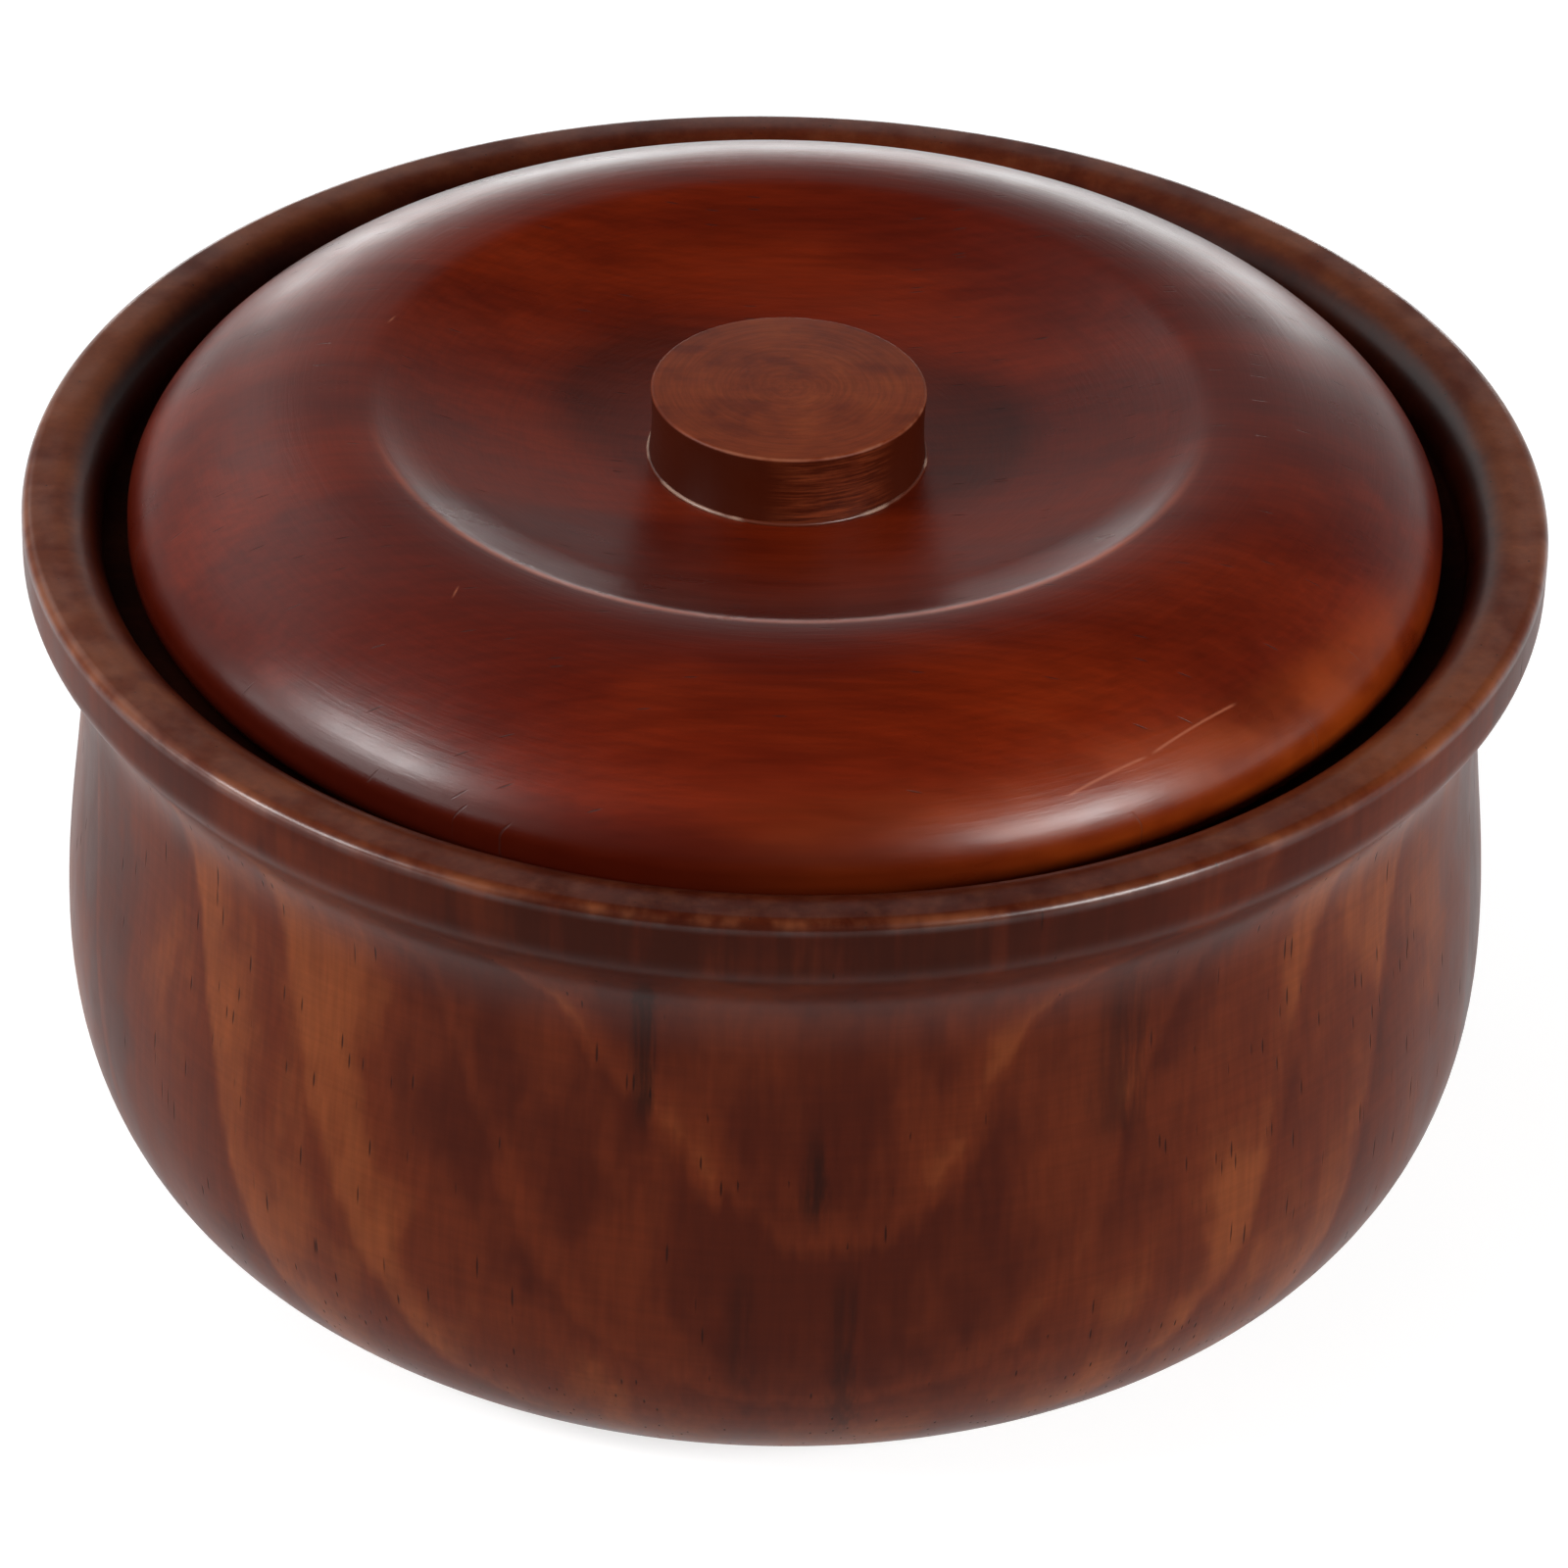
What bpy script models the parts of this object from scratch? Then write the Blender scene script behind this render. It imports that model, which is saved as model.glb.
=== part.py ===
"""A turned wooden bowl with a drop-in lid, the lid's knob, and the dowel that holds the knob.

Metres, +Z up. The origin is the middle of the bowl's base, on the surface it stands on.
Every piece is turned, so each one is an outline spun about the Z axis. An outline starts
and ends on the axis, and runs down the piece's outer side.
"""

import math

import bmesh
import bpy
from mathutils import Vector

# Bowl: heights are above the base, and radii grow outwards from the mouth
BOWL_HEIGHT = 0.0900
MOUTH_RADIUS = 0.0720
SEAT_WIDTH = 0.0084
SEAT_DEPTH = 0.0070
RIM_WIDTH = 0.0093
RIM_INNER_ROUND = 0.0030
LIP_FACE = 0.0056
LIP_OVERHANG = 0.00655
LIP_TOP_ROUND = 0.0009
OGEE_HEIGHT = 0.0150
BELLY_BULGE = 0.0026
BELLY_HEIGHT = 0.0330
BASE_RADIUS = 0.0550
BASE_RING_WIDTH = 0.0110
BASE_HOLLOW_DEPTH = 0.0015
WALL = 0.0092
FLOOR_THICKNESS = 0.0090
SEAT_EDGE_ROUND = 0.0008

# Lid: heights are above the flange face that rests on the bowl's seat
LID_GAP = 0.0030
LID_RISE = 0.01944
LID_EDGE_HEIGHT = 0.0042
LID_EDGE_ROUND = 0.0022
RING_WIDTH = 0.0283
RING_LIFT_ANGLE = math.radians(6)
CREASE_ROUND = 0.0012
DISH_DEPTH = 0.0083
DISH_CURVE_RADIUS = 0.0850
WEB_THICKNESS = 0.0089
SPIGOT_CLEARANCE = 0.0008
SPIGOT_DEPTH = 0.0043
SPIGOT_WIDTH = 0.0092
SPIGOT_ROUND = 0.0010
HOLLOW_ROUND = 0.0050

# Knob and its dowel
KNOB_HEIGHT = 0.0086
KNOB_TOP_RADIUS = 0.01617
KNOB_FOOT_RADIUS = 0.01626
KNOB_WAIST = 0.00025
KNOB_TOP_ROUND = 0.0004
DOWEL_RADIUS = 0.0040
DOWEL_LENGTH = 0.0100
DOWEL_CHAMFER = 0.0006

# Fits
SEAT_GAP = 0.0003
GLUE_GAP = 0.0003

# Fullness of the turned curves: each handle's length as a share of the curve's own height or width
LIP_FULLNESS = 0.33
COVE_FULLNESS = 0.63
NECK_FULLNESS = 0.35
SHOULDER_FULLNESS = 0.38
BELLY_FULLNESS = 0.71
CORNER_FULLNESS = 0.62
RING_FULLNESS = 0.52
EDGE_FULLNESS = 0.34

# Finish of each piece: linear colour and roughness
BOWL_COLOUR = (0.125, 0.036, 0.017)
BOWL_ROUGHNESS = 0.38
LID_COLOUR = (0.150, 0.026, 0.008)
LID_ROUGHNESS = 0.28
KNOB_COLOUR = (0.130, 0.036, 0.016)
KNOB_ROUGHNESS = 0.50
DOWEL_COLOUR = (0.42, 0.27, 0.15)
DOWEL_ROUGHNESS = 0.70

# Facets
BIG_SEGMENTS = 64
KNOB_SEGMENTS = 40
DOWEL_SEGMENTS = 24
ARC_STEP = math.radians(30)
CURVE_STEPS = 6
SIDE_STEPS = 4
SHARP_ANGLE = math.radians(40)
MERGE_DISTANCE = 1e-6

# Sizes that follow from the ones above
SEAT_HEIGHT = BOWL_HEIGHT - SEAT_DEPTH
RECESS_RADIUS = MOUTH_RADIUS + SEAT_WIDTH
LIP_RADIUS = RECESS_RADIUS + RIM_WIDTH
LIP_BOTTOM = BOWL_HEIGHT - LIP_FACE
NECK_RADIUS = LIP_RADIUS - LIP_OVERHANG
NECK_HEIGHT = LIP_BOTTOM - OGEE_HEIGHT
BELLY_RADIUS = NECK_RADIUS + BELLY_BULGE
INNER_RADIUS = BELLY_RADIUS - WALL
LID_RADIUS = RECESS_RADIUS - LID_GAP
CREASE_RADIUS = LID_RADIUS - RING_WIDTH
SPIGOT_RADIUS = MOUTH_RADIUS - SPIGOT_CLEARANCE
LAND_HEIGHT = LID_RISE - DISH_DEPTH
LAND_RADIUS = KNOB_FOOT_RADIUS + GLUE_GAP
HOLE_RADIUS = DOWEL_RADIUS + GLUE_GAP
HOLE_DEPTH = DOWEL_LENGTH / 2


def arc(start, end, radius, sag, least_steps=2):
    """Points from start to end on a circle of that radius, bulging to the side that sag points to."""
    chord = end - start
    side = Vector((-chord.y, chord.x)).normalized()
    if side.dot(sag) > 0:
        side = -side
    radius = max(radius, chord.length / 2)
    centre = (start + end) / 2 + side * math.sqrt(radius**2 - chord.length_squared / 4)
    first = start - centre
    turn = first.angle_signed(end - centre)
    steps = max(least_steps, math.ceil(abs(turn) / ARC_STEP))
    spun = [math.atan2(first.y, first.x) - turn * step / steps for step in range(steps + 1)]
    return [centre + radius * Vector((math.cos(angle), math.sin(angle))) for angle in spun]


def curve(start, start_handle, end_handle, end):
    """Points along a cubic curve whose handles set its slope at both ends."""
    points = []
    for step in range(CURVE_STEPS + 1):
        t = step / CURVE_STEPS
        s = 1 - t
        ends = start * s**3 + end * t**3
        handles = start_handle * (3 * s * s * t) + end_handle * (3 * s * t * t)
        points.append(ends + handles)
    return points


def rounded(*corners):
    """Points of an outline through (radius, height, rounding) corners.

    A rounding gives way where a side is too short for it.
    """
    places = [Vector(corner[:2]) for corner in corners]
    last = len(corners) - 1
    reach = [0.0] * len(corners)
    for i in range(1, last):
        opening = (places[i - 1] - places[i]).angle(places[i + 1] - places[i])
        reach[i] = corners[i][2] / math.tan(opening / 2)
    share = [1.0] * len(corners)
    for i in range(last):
        side = (places[i + 1] - places[i]).length
        spare = min(1.0, side / max(reach[i] + reach[i + 1], side))
        share[i] = min(share[i], spare)
        share[i + 1] = min(share[i + 1], spare)
    points = [places[0]]
    for i in range(1, last):
        before = (places[i - 1] - places[i]).normalized()
        after = (places[i + 1] - places[i]).normalized()
        length = reach[i] * share[i]
        if length == 0:
            points.append(places[i])
        else:
            radius = length * math.tan(before.angle(after) / 2)
            first = places[i] + before * length
            points += arc(first, places[i] + after * length, radius, -(before + after))
    return points + [places[last]]


def turned(name, outline, segments, colour, roughness, parent=None, height=0.0):
    """A solid of revolution about its own Z axis, standing at that height on its parent."""
    shape = bmesh.new()
    verts = []
    for point in outline:
        place = Vector((point.x, 0, point.y))
        if not verts or (verts[-1].co - place).length > MERGE_DISTANCE:
            verts.append(shape.verts.new(place))
    edges = [shape.edges.new(pair) for pair in zip(verts, verts[1:])]
    bmesh.ops.spin(
        shape, geom=verts + edges, cent=(0, 0, 0), axis=(0, 0, 1), angle=2 * math.pi,
        steps=segments, use_merge=True,
    )
    bmesh.ops.remove_doubles(shape, verts=shape.verts, dist=MERGE_DISTANCE)
    bmesh.ops.recalc_face_normals(shape, faces=shape.faces)
    mesh = bpy.data.meshes.new(name)
    shape.to_mesh(mesh)
    shape.free()
    mesh.shade_smooth()
    mesh.set_sharp_from_angle(angle=SHARP_ANGLE)
    mesh.materials.append(wood(name, colour, roughness))
    piece = bpy.data.objects.new(name, mesh)
    bpy.context.scene.collection.objects.link(piece)
    piece.parent = parent
    piece.location.z = height
    return piece


def wood(name, colour, roughness):
    """Lacquered wood of one colour."""
    material = bpy.data.materials.new(name + "_wood")
    material.use_nodes = True
    shader = material.node_tree.nodes["Principled BSDF"]
    shader.inputs["Base Color"].default_value = (*colour, 1)
    shader.inputs["Roughness"].default_value = roughness
    shader.inputs["Metallic"].default_value = 0
    return material


def bowl_inside():
    """From the middle of the floor, up the hollowed wall and over the lid's seat to the rim."""
    floor_radius = BASE_RADIUS - WALL
    widest = Vector((INNER_RADIUS, BELLY_HEIGHT))
    corner = Vector((floor_radius, FLOOR_THICKNESS))
    corner_reach = Vector(((INNER_RADIUS - floor_radius) * CORNER_FULLNESS, 0))
    wall_reach = Vector((0, (BELLY_HEIGHT - FLOOR_THICKNESS) * BELLY_FULLNESS))
    neck = Vector((MOUTH_RADIUS, SEAT_HEIGHT - SPIGOT_DEPTH))
    shoulder = neck.y - BELLY_HEIGHT
    lower = curve(corner, corner + corner_reach, widest - wall_reach, widest)
    upper = curve(
        widest,
        widest + Vector((0, shoulder * SHOULDER_FULLNESS)),
        neck - Vector((0, shoulder * NECK_FULLNESS)),
        neck,
    )
    seat = rounded(
        (*neck, 0),
        (MOUTH_RADIUS, SEAT_HEIGHT, SEAT_EDGE_ROUND),
        (RECESS_RADIUS, SEAT_HEIGHT, SEAT_EDGE_ROUND),
        (RECESS_RADIUS, BOWL_HEIGHT, RIM_INNER_ROUND),
        (LIP_RADIUS, BOWL_HEIGHT, LIP_TOP_ROUND),
        (LIP_RADIUS, LIP_BOTTOM, 0),
    )
    return [Vector((0, FLOOR_THICKNESS))] + lower + upper + seat


def bowl_outside():
    """From the lip, in under its ogee to the neck, down the belly to the standing ring and its hollow."""
    lip = Vector((LIP_RADIUS, LIP_BOTTOM))
    neck = Vector((NECK_RADIUS, NECK_HEIGHT))
    widest = Vector((BELLY_RADIUS, BELLY_HEIGHT))
    base = Vector((BASE_RADIUS, 0))
    ogee = curve(
        lip,
        lip - Vector((0, OGEE_HEIGHT * LIP_FULLNESS)),
        neck + Vector((0, OGEE_HEIGHT * COVE_FULLNESS)),
        neck,
    )
    shoulder = NECK_HEIGHT - BELLY_HEIGHT
    upper = curve(
        neck,
        neck - Vector((0, shoulder * NECK_FULLNESS)),
        widest + Vector((0, shoulder * SHOULDER_FULLNESS)),
        widest,
    )
    lower = curve(
        widest,
        widest - Vector((0, BELLY_HEIGHT * BELLY_FULLNESS)),
        base + Vector(((BELLY_RADIUS - BASE_RADIUS) * CORNER_FULLNESS, 0)),
        base,
    )
    hollow_radius = BASE_RADIUS - BASE_RING_WIDTH
    foot = rounded(
        (*base, 0),
        (hollow_radius, 0, 0),
        (hollow_radius - BASE_HOLLOW_DEPTH, BASE_HOLLOW_DEPTH, 0),
        (0, BASE_HOLLOW_DEPTH, 0),
    )
    return ogee + upper + lower + foot


def lid_outline():
    """From the dowel hole, over the dish, crease and domed ring to the edge, and back under the spigot."""
    crease = Vector((CREASE_RADIUS, LID_RISE))
    edge = Vector((LID_RADIUS, LID_EDGE_HEIGHT))
    land = Vector((LAND_RADIUS, LAND_HEIGHT))
    up = Vector((0, 1))
    dish = arc(land, crease, DISH_CURVE_RADIUS, -up, CURVE_STEPS)
    lift = Vector((math.cos(RING_LIFT_ANGLE), math.sin(RING_LIFT_ANGLE)))
    ring = curve(
        crease,
        crease + lift * (RING_WIDTH * RING_FULLNESS),
        edge + up * ((LID_RISE - LID_EDGE_HEIGHT) * EDGE_FULLNESS),
        edge,
    )
    hole_floor = LAND_HEIGHT - HOLE_DEPTH - GLUE_GAP
    hole = rounded(
        (0, hole_floor, 0),
        (HOLE_RADIUS, hole_floor, 0),
        (HOLE_RADIUS, LAND_HEIGHT, 0),
        (*land, 0),
    )
    hollow_radius = SPIGOT_RADIUS - SPIGOT_WIDTH
    ceiling = LAND_HEIGHT - WEB_THICKNESS
    underside = rounded(
        (*edge, 0),
        (LID_RADIUS, 0, LID_EDGE_ROUND),
        (SPIGOT_RADIUS, 0, 0),
        (SPIGOT_RADIUS, -SPIGOT_DEPTH, SPIGOT_ROUND),
        (hollow_radius, -SPIGOT_DEPTH, SPIGOT_ROUND),
        (hollow_radius, ceiling, HOLLOW_ROUND),
        (0, ceiling, 0),
    )
    crest = rounded((*dish[-2], 0), (*crease, CREASE_ROUND), (*ring[1], 0))
    return hole + dish[1:-2] + crest + ring[2:-1] + underside


def knob_outline():
    """From the middle of the top, down the slightly waisted side to the foot, and up the dowel hole."""
    top = Vector((KNOB_TOP_RADIUS, KNOB_HEIGHT - KNOB_TOP_ROUND))
    foot = Vector((KNOB_FOOT_RADIUS, 0))
    half = (top - foot).length / 2
    side = arc(top, foot, (half**2 + KNOB_WAIST**2) / (2 * KNOB_WAIST), Vector((-1, 0)), SIDE_STEPS)
    brim = rounded((0, KNOB_HEIGHT, 0), (KNOB_TOP_RADIUS, KNOB_HEIGHT, KNOB_TOP_ROUND), (*side[1], 0))
    hole_top = HOLE_DEPTH + GLUE_GAP
    hole = rounded((HOLE_RADIUS, 0, 0), (HOLE_RADIUS, hole_top, 0), (0, hole_top, 0))
    return brim[:-1] + side[1:] + hole


def dowel_outline():
    """A plain pin with chamfered ends, its middle at the height where knob and lid meet."""
    half = DOWEL_LENGTH / 2
    shank = half - DOWEL_CHAMFER
    tip = DOWEL_RADIUS - DOWEL_CHAMFER
    return rounded(
        (0, half, 0),
        (tip, half, 0),
        (DOWEL_RADIUS, shank, 0),
        (DOWEL_RADIUS, -shank, 0),
        (tip, -half, 0),
        (0, -half, 0),
    )


def main():
    for old in list(bpy.data.objects):
        bpy.data.objects.remove(old)
    turned("bowl", bowl_inside() + bowl_outside(), BIG_SEGMENTS, BOWL_COLOUR, BOWL_ROUGHNESS)
    lift = bpy.data.objects.new("lid_lift_axis", None)
    bpy.context.scene.collection.objects.link(lift)
    lift.location.z = SEAT_HEIGHT + SEAT_GAP
    turned("lid", lid_outline(), BIG_SEGMENTS, LID_COLOUR, LID_ROUGHNESS, lift)
    knob_height = LAND_HEIGHT + GLUE_GAP
    turned("knob", knob_outline(), KNOB_SEGMENTS, KNOB_COLOUR, KNOB_ROUGHNESS, lift, knob_height)
    dowel_height = LAND_HEIGHT + GLUE_GAP / 2
    turned("knob_dowel", dowel_outline(), DOWEL_SEGMENTS, DOWEL_COLOUR, DOWEL_ROUGHNESS, lift, dowel_height)


main()
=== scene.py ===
"""Looks of the lidded wooden bowl: finely turned pieces, solid wood, studio light and the camera.

Metres, +Z up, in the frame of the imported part. Textures are worked out in millimetres inside the
wood, so that grain, pores and figure run through a piece as they do in a turned block.
"""

import math

import bmesh
import bpy
from mathutils import Matrix, Vector


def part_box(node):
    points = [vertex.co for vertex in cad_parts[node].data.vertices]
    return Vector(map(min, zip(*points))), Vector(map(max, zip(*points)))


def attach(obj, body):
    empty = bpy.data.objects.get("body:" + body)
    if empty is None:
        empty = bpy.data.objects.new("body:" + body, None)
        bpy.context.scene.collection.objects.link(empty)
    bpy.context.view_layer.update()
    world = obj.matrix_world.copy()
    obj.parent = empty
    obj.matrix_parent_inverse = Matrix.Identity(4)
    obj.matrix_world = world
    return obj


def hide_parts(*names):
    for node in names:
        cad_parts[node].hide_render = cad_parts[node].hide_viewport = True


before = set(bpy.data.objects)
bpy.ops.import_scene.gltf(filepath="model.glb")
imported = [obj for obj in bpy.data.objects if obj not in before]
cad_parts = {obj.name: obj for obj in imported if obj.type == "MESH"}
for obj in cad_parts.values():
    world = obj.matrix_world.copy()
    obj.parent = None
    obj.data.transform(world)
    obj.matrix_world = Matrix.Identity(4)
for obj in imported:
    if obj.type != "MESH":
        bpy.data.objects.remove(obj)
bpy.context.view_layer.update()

# Sizes that the frame gives
LIP_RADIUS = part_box("bowl")[1].x
BOWL_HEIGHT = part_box("bowl")[1].z
LID_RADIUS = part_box("lid")[1].x
KNOB_FOOT_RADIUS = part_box("knob")[1].x
KNOB_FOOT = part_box("knob")[0].z
KNOB_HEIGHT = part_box("knob")[1].z - KNOB_FOOT

# Bowl: heights are above the base
RIM_WIDTH = 0.0093
SEAT_WIDTH = 0.0084
SEAT_DEPTH = 0.0070
RIM_INNER_ROUND = 0.0055
LIP_FACE = 0.0056
LIP_OVERHANG = 0.00655
LIP_TOP_ROUND = 0.0014
OGEE_HEIGHT = 0.0150
BELLY_BULGE = 0.0026
BELLY_HEIGHT = 0.0330
BASE_RADIUS = 0.0550
BASE_RING_WIDTH = 0.0110
BASE_HOLLOW_DEPTH = 0.0015
BASE_EDGE_ROUND = 0.0006
WALL = 0.0092
FLOOR_THICKNESS = 0.0090
SEAT_EDGE_ROUND = 0.0008

# Lid: heights are above the flange face that rests on the bowl's seat
LID_RISE = 0.01944
LID_EDGE_HEIGHT = 0.0042
LID_EDGE_ROUND = 0.0022
RING_WIDTH = 0.0283
RING_LIFT_ANGLE = math.radians(6)
CREASE_ROUND = 0.0070
CREASE_BLEND = 0.0016
DISH_DEPTH = 0.0083
DISH_CURVE_RADIUS = 0.0850
WEB_THICKNESS = 0.0089
SPIGOT_CLEARANCE = 0.0008
SPIGOT_DEPTH = 0.0043
SPIGOT_WIDTH = 0.0092
SPIGOT_ROUND = 0.0010
HOLLOW_ROUND = 0.0050

# Knob, its dowel hole and the glue round its foot
KNOB_TOP_RADIUS = 0.01617
KNOB_WAIST = 0.00025
KNOB_TOP_ROUND = 0.0004
HOLE_RADIUS = 0.0043
HOLE_DEPTH = 0.0053
GLUE_GAP = 0.0003
GLUE_BEAD = 0.00026
GLUE_BEAD_SIDES = 12

# Fullness of the turned curves: each handle's length as a share of the curve's own height or width
LIP_FULLNESS = 0.33
COVE_FULLNESS = 0.63
NECK_FULLNESS = 0.35
SHOULDER_FULLNESS = 0.38
BELLY_FULLNESS = 0.71
CORNER_FULLNESS = 0.62
RING_FULLNESS = 0.52
EDGE_FULLNESS = 0.34

# Facets
BIG_SEGMENTS = 256
KNOB_SEGMENTS = 128
ARC_STEP = math.radians(9)
CURVE_STEPS = 28
SHARP_ANGLE = math.radians(35)
MERGE_DISTANCE = 1e-6

# Sizes that follow from the ones above
SEAT_HEIGHT = BOWL_HEIGHT - SEAT_DEPTH
RECESS_RADIUS = LIP_RADIUS - RIM_WIDTH
MOUTH_RADIUS = RECESS_RADIUS - SEAT_WIDTH
LIP_BOTTOM = BOWL_HEIGHT - LIP_FACE
NECK_RADIUS = LIP_RADIUS - LIP_OVERHANG
NECK_HEIGHT = LIP_BOTTOM - OGEE_HEIGHT
BELLY_RADIUS = NECK_RADIUS + BELLY_BULGE
INNER_RADIUS = BELLY_RADIUS - WALL
CREASE_RADIUS = LID_RADIUS - RING_WIDTH
SPIGOT_RADIUS = MOUTH_RADIUS - SPIGOT_CLEARANCE
LAND_HEIGHT = LID_RISE - DISH_DEPTH
LAND_RADIUS = KNOB_FOOT_RADIUS + GLUE_GAP
LID_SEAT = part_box("lid")[0].z + SPIGOT_DEPTH

# Camera of the photo
CAMERA_PLACE = Vector((0.00076, -0.74403, 0.55367))
CAMERA_ELEVATION = math.radians(34.240)
CAMERA_ROLL = math.radians(1.659)
FOCAL_PIXELS = 7590
IMAGE_PIXELS = 1600
SENSOR_WIDTH = 36.0

# Stage: the floor's colour, and what the eye sees of it: a share that takes shadows, and a glow
FLOOR_RADIUS = 12.0
FLOOR_SEGMENTS = 96
FLOOR_COLOUR = 0.8
FLOOR_SHADOW = 0.6
FLOOR_GLOW = 0.71

# Softboxes: name, azimuth from +X and elevation in degrees, distance, width, height and radiance
SOFTBOXES = (
    ("left_softbox", -161, 28, 1.0, 0.37, 0.21, 33),
    ("right_softbox", -41, 24, 1.0, 0.42, 0.22, 33),
    ("back_softbox", 90, 0, 1.2, 0.90, 0.15, 7.2),
    ("left_panel", 138, 32, 1.3, 0.90, 0.50, 0.9),
    ("left_fill", 200, 5, 1.3, 1.20, 0.36, 4.5),
    ("right_fill", -22, 5, 1.3, 1.20, 0.36, 1.5),
)

# Studio walls: brightness against the sine of the elevation, with the left side taller, the share of
# it that the wall behind the camera has, and where along Y that wall eases into the rest
STUDIO_WALLS = ((0.0, 0.45), (0.2, 0.45), (0.42, 0.5), (0.62, 0.28), (0.8, 0.03))
STUDIO_TILT = (0.42, 0, 1)
FRONT_WALL = 0.13
FRONT_FADE = (-0.9, 0.1)

# Patches where the lid is lighter or darker: x and y of the middle, reach in millimetres, change
LID_PATCHES = (
    (-42, -48, 38, -0.45),
    (34, 36, 30, -0.4),
    (62, 4, 30, -0.35),
    (30, -60, 34, 0.35),
    (-24, 12, 22, 0.3),
)

MILLIMETRES = 1000


def arc(start, end, radius, sag, least_steps=3):
    """Points from start to end on a circle of that radius, bulging to the side of sag."""
    chord = end - start
    side = Vector((-chord.y, chord.x)).normalized()
    if side.dot(sag) > 0:
        side = -side
    radius = max(radius, chord.length / 2)
    centre = (start + end) / 2 + side * math.sqrt(max(0, radius**2 - chord.length_squared / 4))
    first = start - centre
    turn = first.angle_signed(end - centre)
    steps = max(least_steps, math.ceil(abs(turn) / ARC_STEP))
    spun = [math.atan2(first.y, first.x) - turn * step / steps for step in range(steps + 1)]
    return [centre + radius * Vector((math.cos(angle), math.sin(angle))) for angle in spun]


def curve(start, start_handle, end_handle, end):
    """Points along a cubic curve whose handles set its slope at both ends."""
    points = []
    for step in range(CURVE_STEPS + 1):
        t = step / CURVE_STEPS
        s = 1 - t
        ends = start * s**3 + end * t**3
        handles = start_handle * (3 * s * s * t) + end_handle * (3 * s * t * t)
        points.append(ends + handles)
    return points


def rounded(*corners):
    """Points of an outline through (radius, height, rounding) corners."""
    places = [Vector(corner[:2]) for corner in corners]
    points = [places[0]]
    for i in range(1, len(corners) - 1):
        before = (places[i - 1] - places[i]).normalized()
        after = (places[i + 1] - places[i]).normalized()
        rounding = corners[i][2]
        if rounding == 0:
            points.append(places[i])
        else:
            reach = rounding / math.tan(before.angle(after) / 2)
            first = places[i] + before * reach
            points += arc(first, places[i] + after * reach, rounding, -(before + after))
    return points + [places[-1]]


def bowl_outline():
    """The hollowed inside, the lid's seat, the rim, the lip's ogee, the belly and the foot."""
    floor_radius = BASE_RADIUS - WALL
    inner_widest = Vector((INNER_RADIUS, BELLY_HEIGHT))
    corner = Vector((floor_radius, FLOOR_THICKNESS))
    corner_reach = Vector(((INNER_RADIUS - floor_radius) * CORNER_FULLNESS, 0))
    wall_reach = Vector((0, (BELLY_HEIGHT - FLOOR_THICKNESS) * BELLY_FULLNESS))
    mouth = Vector((MOUTH_RADIUS, SEAT_HEIGHT - SPIGOT_DEPTH))
    rise = mouth.y - BELLY_HEIGHT
    inside_lower = curve(corner, corner + corner_reach, inner_widest - wall_reach, inner_widest)
    inside_upper = curve(
        inner_widest,
        inner_widest + Vector((0, rise * SHOULDER_FULLNESS)),
        mouth - Vector((0, rise * NECK_FULLNESS)),
        mouth,
    )
    seat = rounded(
        (*mouth, 0),
        (MOUTH_RADIUS, SEAT_HEIGHT, SEAT_EDGE_ROUND),
        (RECESS_RADIUS, SEAT_HEIGHT, SEAT_EDGE_ROUND),
        (RECESS_RADIUS, BOWL_HEIGHT, RIM_INNER_ROUND),
        (LIP_RADIUS, BOWL_HEIGHT, LIP_TOP_ROUND),
        (LIP_RADIUS, LIP_BOTTOM, 0),
    )
    lip = Vector((LIP_RADIUS, LIP_BOTTOM))
    neck = Vector((NECK_RADIUS, NECK_HEIGHT))
    widest = Vector((BELLY_RADIUS, BELLY_HEIGHT))
    base = Vector((BASE_RADIUS, 0))
    shoulder = NECK_HEIGHT - BELLY_HEIGHT
    ogee = curve(
        lip,
        lip - Vector((0, OGEE_HEIGHT * LIP_FULLNESS)),
        neck + Vector((0, OGEE_HEIGHT * COVE_FULLNESS)),
        neck,
    )
    upper = curve(
        neck,
        neck - Vector((0, shoulder * NECK_FULLNESS)),
        widest + Vector((0, shoulder * SHOULDER_FULLNESS)),
        widest,
    )
    lower = curve(
        widest,
        widest - Vector((0, BELLY_HEIGHT * BELLY_FULLNESS)),
        base + Vector(((BELLY_RADIUS - BASE_RADIUS) * CORNER_FULLNESS, 0)),
        base,
    )
    hollow_radius = BASE_RADIUS - BASE_RING_WIDTH
    foot = rounded(
        (*base, 0),
        (hollow_radius, 0, BASE_EDGE_ROUND),
        (hollow_radius - BASE_HOLLOW_DEPTH, BASE_HOLLOW_DEPTH, BASE_EDGE_ROUND),
        (0, BASE_HOLLOW_DEPTH, 0),
    )
    inside = [Vector((0, FLOOR_THICKNESS))] + inside_lower + inside_upper
    return inside + seat + ogee + upper + lower + foot


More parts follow.
